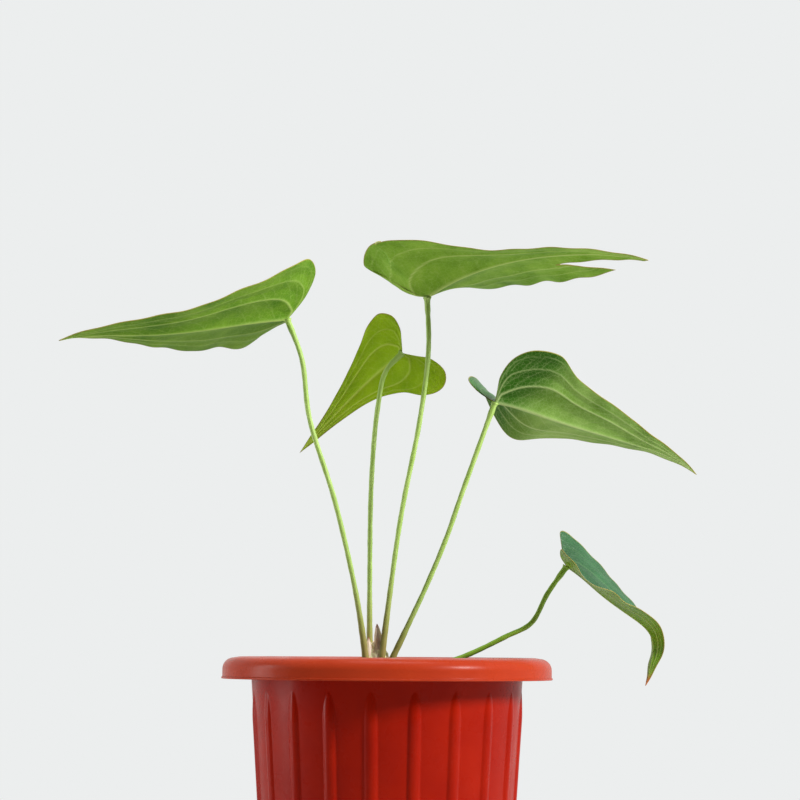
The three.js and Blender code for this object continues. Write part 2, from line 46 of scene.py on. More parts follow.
# ---- the pot's sizes, in millimetres ----
POT_HEIGHT = 170.0
RIM_RADIUS = 99.4
BODY_TOP_RADIUS = 82.7
BASE_RADIUS = 71.4
WALL = 2.0
FLOOR = 2.6
RIM_SKIRT = 13.3
RIM_CORNER = 7.0
RIM_DOME = 0.6
LIP_OUT = 0.6
LIP_HEIGHT = 1.2
LIP_ROUND = 0.45
FOOT_ROUND = 1.6
MOUTH_ROUND = 1.6
CEILING_ROUND = 1.0
FLOOR_ROUND = 3.0
FLOOR_RING = 60.0
RIB_COUNT = 20
RIB_HEIGHT = 1.5
RIB_HALF_WIDTH = 3.9
RIB_TURN = -6.3
RIB_BOTTOM = 5.0
RIB_POINT_BELOW_RIM = 7.0
RIB_POINT_LENGTH = 17.0
RIB_FADE = 1.5
DRAIN_COUNT = 8
DRAIN_RADIUS = 5.0
DRAIN_RING = 45.0
SOIL_TOP = 152.0
SOIL_DIP = 1.5
CROWN_X, CROWN_Y = -6.0, 1.0
RIM_BOTTOM = POT_HEIGHT - RIM_SKIRT
RIM_CEILING = POT_HEIGHT - RIM_DOME - WALL

# ---- the leaves ----
# Each outline point is (forward along the midrib, out from it), as a share of the blade's length.
WIDE = [(0, 0), (-.03, .04), (-.065, .11), (-.07, .20), (-.03, .275), (.06, .30),
        (.21, .265), (.42, .205), (.66, .08), (.86, .02), (1, 0)]
TRIM = [(0, 0), (-.03, .05), (-.07, .12), (-.08, .21), (-.02, .27), (.10, .285),
        (.24, .26), (.44, .19), (.66, .11), (.86, .04), (1, 0)]
SMALL_LOBE = [(0, 0), (-.015, .06), (-.03, .13), (-.01, .215), (.06, .285), (.15, .295),
              (.27, .22), (.45, .17), (.70, .085), (.87, .03), (1, 0)]
CURLED_LOBE = [(0, 0), (-.03, .04), (-.07, .07), (-.095, .115), (-.05, .175), (.055, .23),
               (.20, .235), (.34, .20), (.52, .135), (.70, .085), (.87, .04), (1, 0)]
LONG_LOBE = [(0, 0), (-.05, .06), (-.12, .11), (-.20, .15), (-.255, .19), (-.18, .285),
             (.02, .325), (.23, .255), (.42, .16), (.66, .12), (.85, .055), (1, 0)]
BROAD = [(0, 0), (-.03, .05), (-.07, .12), (-.095, .21), (-.03, .285), (.09, .305),
         (.22, .27), (.44, .20), (.66, .135), (.86, .065), (1, 0)]
HOOD = [(0, 0), (-.05, .05), (-.10, .12), (-.17, .21), (-.13, .255), (-.02, .28),
        (.14, .28), (.30, .245), (.48, .18), (.68, .10), (.86, .04), (1, 0)]
TORN = [(0, 0), (-.03, .04), (-.06, .10), (-.07, .18), (-.02, .25), (.06, .285),
        (.20, .275), (.45, .235), (.70, .18), (.88, .09), (1, 0)]
ARROW_LEFT = [(0, 0), (-.05, .06), (-.10, .13), (-.11, .22), (-.04, .28), (.08, .26),
              (.22, .19), (.42, .115), (.66, .055), (.88, .02), (1, 0)]
ARROW_RIGHT = [(0, 0), (-.06, .06), (-.13, .14), (-.15, .25), (-.07, .32), (.06, .29),
               (.18, .19), (.38, .105), (.66, .05), (.88, .02), (1, 0)]

# at: where the blade joins its petiole. length: the midrib's. stalk: the petiole's points. heading,
# pitch and roll: the midrib's course in degrees, with lobe_pitch for what lies behind the joint. Each
# half: its outline, its fold off the rolled plane, and the wave of its margin (mm, turns, start).
LEAVES = {
    "left": dict(
        at=(-62, -12, 374), length=150, heading=(214, 209, 205), pitch=(-8, -12, -9, -3, -12),
        stalk=[(-12, -3.4, 154), (-12.6, -3.6, 165), (-18.5, -6, 205), (-32, -10, 263),
               (-48, -12, 314), (-53, -12, 350)],
        lobe_pitch=-15, roll=(24, 20, 16), left=(BROAD, (36, 16, 8, 8, 8), (1, 3, 90)),
        right=(WIDE, (40, 9, 6, 4, 2, 2), (1.8, 3.2, -110))),
    "top": dict(
        at=(23, -5, 389), length=149, heading=(-34, -28, -20), pitch=(26, 14, 4, -3, -12),
        stalk=[(-4.2, -5.4, 154), (-3.6, -5.4, 165), (0, -5, 197), (8, -5, 256), (19, -5, 314),
               (24, -5, 357)],
        lobe_pitch=-4, roll=(-10, -10), left=(TORN, (55, 15, -3, -12, -12), (1.2, 5, 0)),
        right=(LONG_LOBE, (44, 24, 0, -4, -2), (0, 0, 0))),
    "middle": dict(
        at=(8, 22, 357.5), length=101, heading=(140, 145), pitch=(-28, -37, -40),
        stalk=[(-10.4, 6.4, 154), (-10.6, 6.6, 165), (-11, 8, 220), (-10.4, 12, 277), (-7, 16, 322),
               (-2, 20, 346)],
        lobe_pitch=-30, roll=(62, 62), left=(ARROW_LEFT, (0, 0), (0, 0, 0)),
        right=(ARROW_RIGHT, (0, 0), (0, 0, 0))),
    "right": dict(
        at=(64.3, -12, 324), length=148, heading=(25, 25), pitch=(-8, -15, -13, -13, -15, -34),
        stalk=[(-0.4, -3.4, 154), (1.6, -3.8, 165), (9.6, -5, 183), (23, -6, 212), (35, -8, 241),
               (45, -10, 270)],
        lobe_pitch=-8, roll=(-32, -32),
        left=(CURLED_LOBE, (94, 62, 14, 22, 28, 32, 22), (0.8, 3, 30)),
        right=(SMALL_LOBE, (18, 17, 14, 8, 5), (1.5, 3.2, 150))),
    "low": dict(
        at=(108.7, 0, 225.7), length=98, heading=(-5, -5, 0, 30, 50),
        pitch=(-35, -42, -36, -42, -100, -116),
        stalk=[(-2, 5, 155.5), (8, 4, 157.5), (22, 2, 163), (47, 0, 171), (72, -1, 183),
               (87, 0, 191), (97, 0, 209)],
        lobe_pitch=-38, roll=(0, 0), left=(HOOD, (44, 30, 27, 28, 15), (0, 0, 0)),
        right=(TRIM, (30, 2, 15, 25, 12), (1.4, 4, 0))),
}
TEAR = {"end": (.58, .075), "beside_midrib": (1.06, .004), "beside_flap": (.90, .13)}

# The main veins of one half: the course as (row 0-1 round the half, share from midrib to margin), the
# width at its start and end, and the strength.
MAIN_VEINS = [
    ([(.30, .02), (.345, .20), (.42, .38), (.55, .47), (.72, .47), (.88, .42), (.97, .35)],
     .80, .30, .90),
    ([(.22, .02), (.25, .30), (.32, .55), (.45, .70), (.62, .74), (.80, .72), (.95, .60)],
     .65, .25, .55),
    ([(.12, .02), (.14, .35), (.20, .65), (.30, .84), (.42, .90), (.55, .92)], .60, .22, .28),
    ([(.05, .05), (.07, .40), (.10, .70), (.15, .88)], .50, .20, .20),
]
# The small veins come in groups: how many, the row of the first, the step to the next one's row, how
# far out the next one's start moves, and the course as (rows from there, share to the margin).
SMALL_VEINS = [
    (10, .37, .058, 0, [(0, 0), (.035, .16), (.08, .33), (.12, .45)]),
    (12, .33, .052, .012, [(0, .34), (.035, .52), (.075, .66), (.10, .73)]),
    (18, .24, .042, 0, [(0, .68), (.02, .8), (.045, .93)]),
    (6, .05, .028, 0, [(.02, .3), (.035, .6), (.06, .88)]),
]
MIDRIB_WIDTHS = (1.25, 0.34)
SMALL_VEIN_WIDTHS, SMALL_VEIN_STRENGTH = (0.34, 0.18), 0.24
SMALL_VEIN_SHIFT = 0.012

# The sides of the blades. The rear lobes' colour is painted shade: a darker, more saturated green for the
# right leaf's rear lobe, which gets less light. tip: the colour of the dry tip.
TAN, BROWN = (148, 140, 62), (166, 98, 48)
BLADE_LOOKS = {
    "blade_upper": dict(dark=(34, 88, 30), light=(52, 112, 40), vein=(120, 160, 84), vein_share=0.45,
                        roughness=0.36, specular=0.45),
    "blade_left_lower": dict(dark=(72, 118, 8), light=(112, 152, 38), vein=(178, 202, 110)),
    # painted light: brighter than the left leaf's under side for light shining through the blade from
    # above
    "blade_top_lower": dict(dark=(92, 138, 10), light=(138, 180, 58), vein=(196, 216, 124)),
    # partly painted sheen: a greyer, lighter green for the sheen on this under side
    "blade_right_lower": dict(dark=(98, 138, 42), light=(142, 178, 86), vein=(196, 216, 144),
                              rear_shade=(44, 92, 0)),
    # the middle leaf: both sides partly its own paler green, partly painted light shining through the
    # blade
    "backlit_pale_blade_upper": dict(dark=(84, 130, 16), light=(112, 152, 26), vein=(170, 190, 90),
                             vein_share=0.5, roughness=0.38, specular=0.45),
    "backlit_pale_blade_lower": dict(dark=(128, 168, 0), light=(156, 192, 10), vein=(200, 216, 100),
                             vein_share=0.6, specular=0.12),
    "aging_blade_upper": dict(dark=(18, 70, 32), light=(36, 98, 50), vein=(96, 140, 84),
                              vein_share=0.4, roughness=0.36, specular=0.6, tip=BROWN),
    "aging_blade_lower": dict(dark=(76, 126, 0), light=(108, 152, 16), vein=(174, 194, 96),
                              roughness=0.45, specular=0.3, tip=BROWN),
}
# each leaf's upper side, under side and slot
BLADE_SIDES = {
    "left": ("blade_upper", "blade_left_lower", "blade"),
    "top": ("blade_upper", "blade_top_lower", "blade"),
    "middle": ("backlit_pale_blade_upper", "backlit_pale_blade_lower", "pale_blade"),
    "right": ("blade_upper", "blade_right_lower", "blade"),
    "low": ("aging_blade_upper", "aging_blade_lower", "aging_blade"),
}

# ---- mathematics ----


def between(p0, p1, p2, p3, f):
    """The smooth course a share f of the way from p1 to p2."""
    return 0.5 * (2 * p1 + (p2 - p0) * f + (2 * p0 - 5 * p1 + 4 * p2 - p3) * f * f
                  + (3 * p1 - p0 - 3 * p2 + p3) * f ** 3)


def course(values, t):
    """A smooth course through evenly spaced values, for an array t from 0 to 1."""
    values = np.asarray(values, float)
    last = len(values) - 1
    x = np.clip(np.asarray(t, float), 0, 1) * last
    i = np.minimum(x.astype(int), last - 1)
    p0, p3 = values[np.maximum(i - 1, 0)], values[np.minimum(i + 2, last)]
    return between(p0, values[i], values[i + 1], p3, x - i)


def through(points, t):
    """Points at t (0 to 1) on a smooth line through the given points."""
    points = np.asarray(points, float)
    last = len(points) - 1
    x = np.clip(np.asarray(t, float), 0, 1) * last
    i = np.minimum(x.astype(int), last - 1)
    p1, p2 = points[i], points[i + 1]
    p0 = np.where((i == 0)[..., None], 2 * p1 - p2, points[np.maximum(i - 1, 0)])
    p3 = np.where((i == last - 1)[..., None], 2 * p2 - p1, points[np.minimum(i + 2, last)])
    return between(p0, p1, p2, p3, (x - i)[..., None])


def even_curve(points, steps):
    """Evenly spaced points and directions along the centripetal curve through the given points."""
    points = np.asarray(points, float)
    padded = np.vstack([2 * points[0] - points[1], points, 2 * points[-1] - points[-2]])
    dense = []
    for k in range(len(points) - 1):
        p0, p1, p2, p3 = near = padded[k:k + 4]
        d0, d1, d2 = [max(np.linalg.norm(b - a) ** 0.5, 1e-6) for a, b in zip(near, near[1:])]
        m1 = ((p1 - p0) / d0 - (p2 - p0) / (d0 + d1) + (p2 - p1) / d1) * d1
        m2 = ((p2 - p1) / d1 - (p3 - p1) / (d1 + d2) + (p3 - p2) / d2) * d1
        f = np.linspace(0, 1, 60, endpoint=k == len(points) - 2)[:, None]
        dense.append(p1 + m1 * f + (-3 * p1 + 3 * p2 - 2 * m1 - m2) * f ** 2
                     + (2 * p1 - 2 * p2 + m1 + m2) * f ** 3)
    dense = np.vstack(dense)
    run = np.concatenate([[0], np.cumsum(np.linalg.norm(np.diff(dense, axis=0), axis=1))])
    at = np.linspace(0, run[-1], steps)
    line = np.stack([np.interp(at, run, dense[:, k]) for k in range(3)], 1)
    ways = np.gradient(line, axis=0)
    return line, ways / np.linalg.norm(ways, axis=1)[:, None], run[-1]


def smooth(low, high, x):
    """0 up to low, 1 from high on, and an even rise between them."""
    t = np.clip((np.asarray(x, float) - low) / (high - low), 0, 1)
    return t * t * (3 - 2 * t)


def turning_frames(ways, first):
    """A side direction at each step of a curve that turns as little as it can."""
    side = np.asarray(first, float)
    sides = []
    for way in ways:
        side = side - way * (side @ way)
        side = side / np.linalg.norm(side)
        sides.append(side)
    return np.array(sides), np.cross(ways, sides)


# ---- meshes ----


def make_piece(name, points, faces, materials, stands_for=(), which=None, values=None,
               sharp=None):
    """A mesh piece in metres from points in millimetres, riding on the one body. which: the material
    of each face. values: a number or a vector for each point, by name. sharp: the angle of an edge."""
    mesh = bpy.data.meshes.new(name)
    mesh.from_pydata((np.asarray(points) * MM).tolist(), [], faces)
    for material in materials:
        mesh.materials.append(material)
    if which is not None:
        mesh.polygons.foreach_set("material_index", np.asarray(which, np.int32))
    for key, data in (values or {}).items():
        data = np.asarray(data, np.float32)
        kind, field = ("FLOAT", "value") if data.ndim == 1 else ("FLOAT_VECTOR", "vector")
        mesh.attributes.new(key, kind, "POINT").data.foreach_set(field, data.ravel())
    mesh.validate()
    mesh.update()
    mesh.shade_smooth()
    if sharp is not None:
        mesh.set_sharp_from_angle(angle=math.radians(sharp))
    piece = bpy.data.objects.new(name, mesh)
    bpy.context.scene.collection.objects.link(piece)
    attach(piece, "root")
    if stands_for:
        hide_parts(*stands_for)


def ring_faces(rings, count):
    """Quads between neighbouring rings of count points."""
    faces = []
    for r in range(rings - 1):
        low, high = r * count, (r + 1) * count
        for i in range(count):
            j = (i + 1) % count
            faces.append((low + i, low + j, high + j, high + i))
    return faces


def tube_faces(rings, count):
    """The faces of a tube of rings of count points, closed at both ends."""
    last = range((rings - 1) * count, rings * count)
    return ring_faces(rings, count) + [tuple(range(count))[::-1], tuple(last)]


# ---- looks ----


def linear(red, green, blue):
    """A linear colour from a display colour of 0 to 255."""
    def one(v):
        v = v / 255
        return v / 12.92 if v <= 0.04045 else ((v + 0.055) / 1.055) ** 2.4
    return (one(red), one(green), one(blue), 1.0)


class Look:
    """One procedural material round a Principled shader. Its colours are display colours, 0 to 255."""

    def __init__(self, name, roughness, specular):
        self.material = bpy.data.materials.new(name)
        self.material.use_nodes = True
        self.tree = self.material.node_tree
        self.tree.nodes.clear()
        output = self.tree.nodes.new("ShaderNodeOutputMaterial")
        self.shader = self.tree.nodes.new("ShaderNodeBsdfPrincipled")
        self.shader.inputs["Roughness"].default_value = roughness
        self.shader.inputs["Specular IOR Level"].default_value = specular
        self.tree.links.new(self.shader.outputs[0], output.inputs["Surface"])

    def feed(self, node, name, value):
        socket = node.inputs[name]
        if isinstance(value, bpy.types.NodeSocket):
            self.tree.links.new(value, socket)
        elif socket.type == "RGBA":
            socket.default_value = linear(*value)
        else:
            socket.default_value = value

    def attribute(self, name, out="Fac"):
        node = self.tree.nodes.new("ShaderNodeAttribute")
        node.attribute_name = name
        return node.outputs[out]

    def place(self):
        return self.tree.nodes.new("ShaderNodeTexCoord").outputs["Object"]

    def stretch(self, vector, scale):
        node = self.tree.nodes.new("ShaderNodeMapping")
        self.feed(node, "Vector", vector)
        node.inputs["Scale"].default_value = scale
        return node.outputs[0]

    def noise(self, vector, scale, detail=3, rough=0.55):
        node = self.tree.nodes.new("ShaderNodeTexNoise")
        self.feed(node, "Vector", vector)
        node.inputs["Scale"].default_value = scale
        node.inputs["Detail"].default_value = detail
        node.inputs["Roughness"].default_value = rough
        return node.outputs["Fac"]

    def cells(self, vector, scale):
        node = self.tree.nodes.new("ShaderNodeTexVoronoi")
        node.feature = "DISTANCE_TO_EDGE"
        self.feed(node, "Vector", vector)
        node.inputs["Scale"].default_value = scale
        return node.outputs[0]

    def ramp(self, value, stops):
        node = self.tree.nodes.new("ShaderNodeValToRGB")
        self.feed(node, "Fac", value)
        line = node.color_ramp.elements
        for end, (position, colour) in ((line[0], stops[0]), (line[1], stops[-1])):
            end.position, end.color = position, linear(*colour)
        for position, colour in stops[1:-1]:
            line.new(position).color = linear(*colour)
        return node.outputs[0]

    def spread(self, value, low, high, to_low=0.0, to_high=1.0):
        node = self.tree.nodes.new("ShaderNodeMapRange")
        node.interpolation_type = "SMOOTHSTEP"
        self.feed(node, 0, value)
        for k, number in enumerate((low, high, to_low, to_high)):
            node.inputs[k + 1].default_value = number
        return node.outputs[0]

    def math(self, operation, a, b):
        node = self.tree.nodes.new("ShaderNodeMath")
        node.operation = operation
        self.feed(node, 0, a)
        self.feed(node, 1, b)
        return node.outputs[0]

    def mix(self, share, a, b):
        node = self.tree.nodes.new("ShaderNodeMix")
        node.data_type = "RGBA"
        # a mix node has sockets for every type of data: these are the colour ones
        share_in, a_in, b_in, out = 0, 6, 7, 2
        self.feed(node, share_in, share)
        self.feed(node, a_in, a)
        self.feed(node, b_in, b)
        return node.outputs[out]

    def bump(self, height, distance):
        node = self.tree.nodes.new("ShaderNodeBump")
        self.feed(node, "Height", height)
        node.inputs["Distance"].default_value = distance
        self.feed(self.shader, "Normal", node.outputs[0])

    def colour(self, value):
        self.feed(self.shader, "Base Color", value)

    def roughness(self, value):
        self.feed(self.shader, "Roughness", value)


def pot_look():
    """Glossy orange-red plastic; the rim is painted a duller, more orange red than the body: painted
    light, for the light and sheen that fall on the rim.
    """
    look = Look("pot_plastic", 0.3, 0.08)
    place = look.place()
    cloud = look.noise(place, 22, 3)
    body = look.ramp(cloud, [(0.3, (142, 16, 0)), (0.7, (156, 24, 0))])
    # painted light: the rim's lighter, more orange red stands for the light and sheen on it
    rim = look.ramp(cloud, [(0.3, (160, 48, 22)), (0.7, (170, 56, 28))])
    look.colour(look.mix(look.attribute("rim"), body, rim))
    look.roughness(look.spread(look.noise(place, 60, 4), 0.3, 0.7, 0.24, 0.36))
    look.bump(look.noise(place, 900, 2), 0.000012)
    return look.material


def soil_look():
    look = Look("soil", 0.95, 0.2)
    place = look.place()
    lumps = look.noise(place, 180, 6, 0.7)
    specks = look.noise(place, 900, 3, 0.6)
    earth = look.ramp(lumps, [(0.3, (34, 24, 18)), (0.55, (66, 49, 37)), (0.8, (104, 82, 62))])
    look.colour(look.mix(look.spread(specks, 0.55, 0.75), earth, (126, 104, 80)))
    look.bump(look.noise(place, 1400, 4, 0.7), 0.0004)
    return look.material


def grain_look():
    look = Look("soil_grains", 0.9, 0.25)
    place = look.place()
    tone = look.noise(place, 210, 2)
    look.colour(look.ramp(tone, [(0.35, (40, 27, 19)), (0.5, (84, 58, 40)), (0.68, (132, 101, 72))]))
    look.bump(look.noise(place, 1800, 4, 0.7), 0.0003)
    return look.material


def crown_look():
    look = Look("crown", 0.6, 0.35)
    place = look.place()
    rings = look.noise(look.stretch(place, (1, 1, 4)), 160, 4, 0.6)
    skin = look.ramp(rings, [(0.3, (232, 212, 176)), (0.5, (244, 238, 196)), (0.7, (236, 244, 184))])
    blush = look.spread(look.noise(place, 420, 4), 0.54, 0.72)
    look.colour(look.mix(blush, skin, (224, 176, 156)))
    look.bump(rings, 0.0003)
    return look.material


def bract_look():
    look = Look("bract", 0.75, 0.25)
    place = look.place()
    fibre = look.noise(look.stretch(place, (1, 1, 0.12)), 1500, 3)
    paper = look.ramp(fibre, [(0.3, (240, 208, 188)), (0.5, (250, 228, 208)), (0.75, (252, 242, 222))])
    look.colour(look.mix(look.attribute("tip"), paper, (150, 84, 64)))
    look.bump(fibre, 0.0001)
    return look.material


def petiole_look(name, body, light, base):
    """Two greens in streaks along the petiole, and the base's colour that fades out up it."""
    look = Look(name, 0.45, 0.25)
    flat = look.attribute("flat", "Vector")
    streak = look.noise(look.stretch(flat, (1, 0.05, 1)), 1.4, 3)
    skin = look.ramp(streak, [(0.3, body), (0.7, light)])
    foot = look.spread(look.attribute("along"), 0.02, 0.34, 1.0, 0.0)
    stain = look.math("MULTIPLY", foot, look.spread(streak, 0.2, 0.75, 0.55, 1.0))
    look.colour(look.mix(stain, skin, base))
    look.bump(streak, 0.00004)
    return look.material


def blade_look(name, dark, light, vein, vein_share=0.7, roughness=0.6, specular=0.15, rear_shade=None,
               tip=None):
    """One side of a blade: green clouds, pale veins, a fine net between them and a thin margin line, with
    painted shade on the rear lobes if a colour for it is given.
    """
    look = Look(name, roughness, specular)
    flat = look.attribute("flat", "Vector")
    green = look.ramp(look.noise(flat, 0.045, 4, 0.6), [(0.32, dark), (0.68, light)])
    # painted shade: the rear lobes get a darker green for the light they lack
    if rear_shade:
        green = look.mix(look.attribute("rear_shade"), green, rear_shade)
    net = look.cells(flat, 0.42)
    netted = look.mix(look.spread(net, 0.0, 0.07, 0.16, 0.0), green, vein)
    veined = look.mix(look.math("MULTIPLY", look.attribute("vein"), vein_share), netted, vein)
    finished = look.mix(look.spread(look.attribute("edge"), 0.25, 0.75), veined, TAN)
    if tip:
        finished = look.mix(look.attribute("dry"), finished, tip)
    look.colour(finished)
    relief = look.math("ADD", look.spread(net, 0.0, 0.12), look.noise(flat, 1.6, 2))
    look.bump(relief, 0.00004)
    return look.material


# ---- the pot ----

TAPER = (BODY_TOP_RADIUS - BASE_RADIUS) / POT_HEIGHT


def body_radius(z):
    return BASE_RADIUS + TAPER * z


def arc(x, z, radius, start, end, steps):
    """Points of a rounding about (x, z), angles in degrees from outward toward up."""
    turns = [math.radians(start + (end - start) * k / steps) for k in range(steps + 1)]
    return [(x + radius * math.cos(t), z + radius * math.sin(t)) for t in turns]


def wall_profile():
    """The wall's section as (radius, height), from the floor round the outside and back inside to the
    floor, and the first and last of its points that carry the ribs."""
    foot = BASE_RADIUS - FOOT_ROUND
    wall = [(FLOOR_RING, 0), (foot, 0), *arc(foot, FOOT_ROUND, FOOT_ROUND, -80, 0, 5)]
    body_first = len(wall)
    ceiling = RIM_CEILING - CEILING_ROUND
    # closer together where the ribs start and where they come to a point
    heights = np.unique(np.concatenate([
        np.linspace(FOOT_ROUND + 0.6, 14, 16), np.linspace(14, 125, 56), np.linspace(125, 152, 46),
        np.linspace(152, ceiling, 8)]))
    wall += [(body_radius(z), z) for z in heights]
    body_last = len(wall)
    # under the rim, down the inside of its skirt and round the lip
    wall += arc(body_radius(RIM_CEILING) + CEILING_ROUND, ceiling, CEILING_ROUND, 180, 90, 4)
    skirt = RIM_RADIUS - WALL
    wall += arc(skirt - CEILING_ROUND, ceiling, CEILING_ROUND, 90, 0, 4)
    wall += [(skirt - 0.05, RIM_BOTTOM + 4), (skirt - 0.05, RIM_BOTTOM + 0.3)]
    wall += [(skirt + 0.25, RIM_BOTTOM)]
    lip = RIM_RADIUS + LIP_OUT - LIP_ROUND
    wall += arc(lip, RIM_BOTTOM + LIP_ROUND, LIP_ROUND, -90, 0, 5)
    wall += arc(lip, RIM_BOTTOM + LIP_HEIGHT - LIP_ROUND, LIP_ROUND, 0, 80, 5)
    wall += arc(RIM_RADIUS + 0.4, RIM_BOTTOM + LIP_HEIGHT + 0.5, 0.4, 260, 185, 4)
    # up the rim, over its slightly domed top and down the inside
    wall += arc(RIM_RADIUS - RIM_CORNER, POT_HEIGHT - RIM_DOME - RIM_CORNER, RIM_CORNER, 0, 86, 18)
    top_out = RIM_RADIUS - RIM_CORNER
    top_in = body_radius(POT_HEIGHT) - WALL + MOUTH_ROUND
    for f in np.arange(1, 8) / 8:
        wall.append((top_out + (top_in - top_out) * f, POT_HEIGHT - RIM_DOME * (2 * f - 1) ** 2))
    wall += arc(top_in, POT_HEIGHT - RIM_DOME - MOUTH_ROUND, MOUTH_ROUND, 92, 180, 8)
    wall += [(body_radius(z) - WALL, z) for z in (160, 140, 110, 80, 50, 25, 12)]
    wall += arc(body_radius(FLOOR) - WALL - FLOOR_ROUND, FLOOR + FLOOR_ROUND, FLOOR_ROUND, 0, -90, 6)
    wall += [(FLOOR_RING, FLOOR)]
    return np.array(wall), body_first, body_last


def rib_lift(turns, radii, levels):
    """How far the ribs stand out: half round, with a pointed top that dies into the wall."""
    pitch = 360 / RIB_COUNT
    offset = (np.degrees(turns) - RIB_TURN + pitch / 2) % pitch - pitch / 2
    across = np.radians(offset)[None, :] * radii
    rib_top = RIM_BOTTOM - RIB_POINT_BELOW_RIM
    point = np.clip((levels - (rib_top - RIB_POINT_LENGTH)) / RIB_POINT_LENGTH, 0, 1)
    foot = smooth(RIB_BOTTOM - RIB_FADE, RIB_BOTTOM + RIB_FADE, levels)
    half = RIB_HALF_WIDTH * np.sqrt(np.clip(1 - point ** 1.9, 0, 1)) + 1e-6
    inside = np.clip(1 - (across / half) ** 2, 0, 1)
    return RIB_HEIGHT * inside ** 0.9 * foot * (1 - 0.9 * point ** 1.5)


def floor_plan(turns):
    """The floor in plan, cut into triangles round its drain holes: its corners, the outline point that
    each stands on (-1 for none), the triangles, and each hole's outline points."""
    count, hole_sides = len(turns), 40
    outline = [Vector((FLOOR_RING * math.sin(t), -FLOOR_RING * math.cos(t))) for t in turns]
    edges = [(i, (i + 1) % count) for i in range(count)]
    holes = []
    for k in range(DRAIN_COUNT):
        turn = 2 * math.pi * k / DRAIN_COUNT
        centre = Vector((DRAIN_RING * math.cos(turn), DRAIN_RING * math.sin(turn)))
        start = len(outline)
        for i in range(hole_sides):
            at = 2 * math.pi * i / hole_sides
            outline.append(centre + DRAIN_RADIUS * Vector((math.cos(at), math.sin(at))))
            edges.append((start + i, start + (i + 1) % hole_sides))
        holes.append((centre, start))
    corners, _, triangles, origins, *_ = geometry.delaunay_2d_cdt(outline, edges, [], 0, 1e-6)
    kept = []
    for triangle in triangles:
        middle = sum((corners[i] for i in triangle), Vector((0, 0))) / 3
        if all((middle - centre).length > DRAIN_RADIUS * 0.99 for centre, _ in holes):
            kept.append(triangle)
    rounds = [[start + i for i in range(hole_sides)] for _, start in holes]
    return corners, [found[0] if found else -1 for found in origins], kept, rounds


def build_pot(material):
    count = 900
    turns = np.linspace(0, 2 * math.pi, count, endpoint=False)
    profile, body_first, body_last = wall_profile()
    radii = np.repeat(profile[:, :1], count, 1)
    levels = np.repeat(profile[:, 1:], count, 1)
    rows = np.arange(len(profile))[:, None]
    on_body = (rows >= body_first) & (rows < body_last)
    radii = radii + np.where(on_body, rib_lift(turns, radii, levels), 0)
    # a turn of 0 is at the front, -Y
    points = np.stack([radii * np.sin(turns), -radii * np.cos(turns), levels], -1).reshape(-1, 3)
    faces = ring_faces(len(profile), count)
    # the floor's two sides share the wall's first and last rings
    corners, origins, triangles, holes = floor_plan(turns)
    inner = (len(profile) - 1) * count
    low, high, more = {}, {}, []
    for i, (corner, origin) in enumerate(zip(corners, origins)):
        if 0 <= origin < count:
            low[i], high[i] = origin, inner + origin
        else:
            low[i], high[i] = len(points) + len(more), len(points) + len(more) + 1
            more += [(*corner, 0), (*corner, FLOOR)]
    for a, b, c in triangles:
        faces += [(low[a], low[c], low[b]), (high[a], high[b], high[c])]
    corner_of = {origin: i for i, origin in enumerate(origins) if origin >= 0}
    for hole in holes:
        for a, b in zip(hole, hole[1:] + hole[:1]):
            a, b = corner_of[a], corner_of[b]
            faces.append((low[a], low[b], high[b], high[a]))
    points = np.vstack([points, more])
    outside = np.hypot(points[:, 0], points[:, 1]) > body_radius(POT_HEIGHT) - 4
    # where the rim's painted light goes
    in_rim = smooth(RIM_BOTTOM - 0.6, RIM_BOTTOM + 0.2, points[:, 2]) * outside
    make_piece("pot_shell", points, faces, [material], ("pot",), sharp=50,
               values={"rim": in_rim})


# ---- the soil ----

SOIL_GAP = 0.15
SOIL_RADIUS = body_radius(SOIL_TOP) - WALL - SOIL_GAP
LUMP_HEIGHT, CRUMB_HEIGHT = 1.1, 1.0
GRAIN_COUNT = 1500
# a grain starts as an icosahedron
GRAIN_CORNERS = [
    (0, 0, 1), (.894, 0, .447), (.276, .851, .447), (-.724, .526, .447), (-.724, -.526, .447),
    (.276, -.851, .447), (.724, .526, -.447), (-.276, .851, -.447), (-.894, 0, -.447),
    (-.276, -.851, -.447), (.724, -.526, -.447), (0, 0, -1)]
NEXT_ROUND = [(k, k % 5 + 1) for k in range(1, 6)]
GRAIN_SIDES = [*((0, k, j) for k, j in NEXT_ROUND), *((k, k + 5, j) for k, j in NEXT_ROUND),
               *((j, k + 5, j + 5) for k, j in NEXT_ROUND), *((k + 5, 11, j + 5) for k, j in NEXT_ROUND)]


def soil_height(x, y):
    """The bed's height: it rises slightly toward the wall, with lumps and crumbs."""
    p = Vector((x, y, 0))
    lumps = noise.fractal(p * 0.09, 1.0, 2.0, 3)
    crumbs = noise.turbulence(p * 0.45, 3, False)
    out = math.hypot(x, y) / (body_radius(SOIL_TOP) - WALL)
    return SOIL_TOP + SOIL_DIP * out ** 2 + LUMP_HEIGHT * lumps + CRUMB_HEIGHT * crumbs


def build_soil(material):
    count = 320
    turns = np.linspace(0, 2 * math.pi, count, endpoint=False)
    # rings of (radius, height): over the top, where the height follows the lumps, down and under
    spacing = np.linspace(0.6, 1, 92)
    rows = [(r, None) for r in spacing * SOIL_RADIUS * np.linspace(0.01, 1, 92)]
    rows += [(body_radius(z) - WALL - SOIL_GAP, z) for z in (140, 100, 60, 20, FLOOR + 3.4)]
    rows += [(body_radius(FLOOR) - WALL - 3.2, FLOOR + 0.2), (0.5, FLOOR + 0.2)]
    points = []
    for radius, level in rows:
        for t in turns:
            x, y = radius * math.cos(t), radius * math.sin(t)
            points.append((x, y, soil_height(x, y) if level is None else level))
    faces = [(b, a, d, c) for a, b, c, d in ring_faces(len(rows), count)]
    faces.append(tuple(range(count)))
    faces.append(tuple(range((len(rows) - 1) * count, len(rows) * count))[::-1])
    make_piece("soil_bed", points, faces, [material], ("soil",))


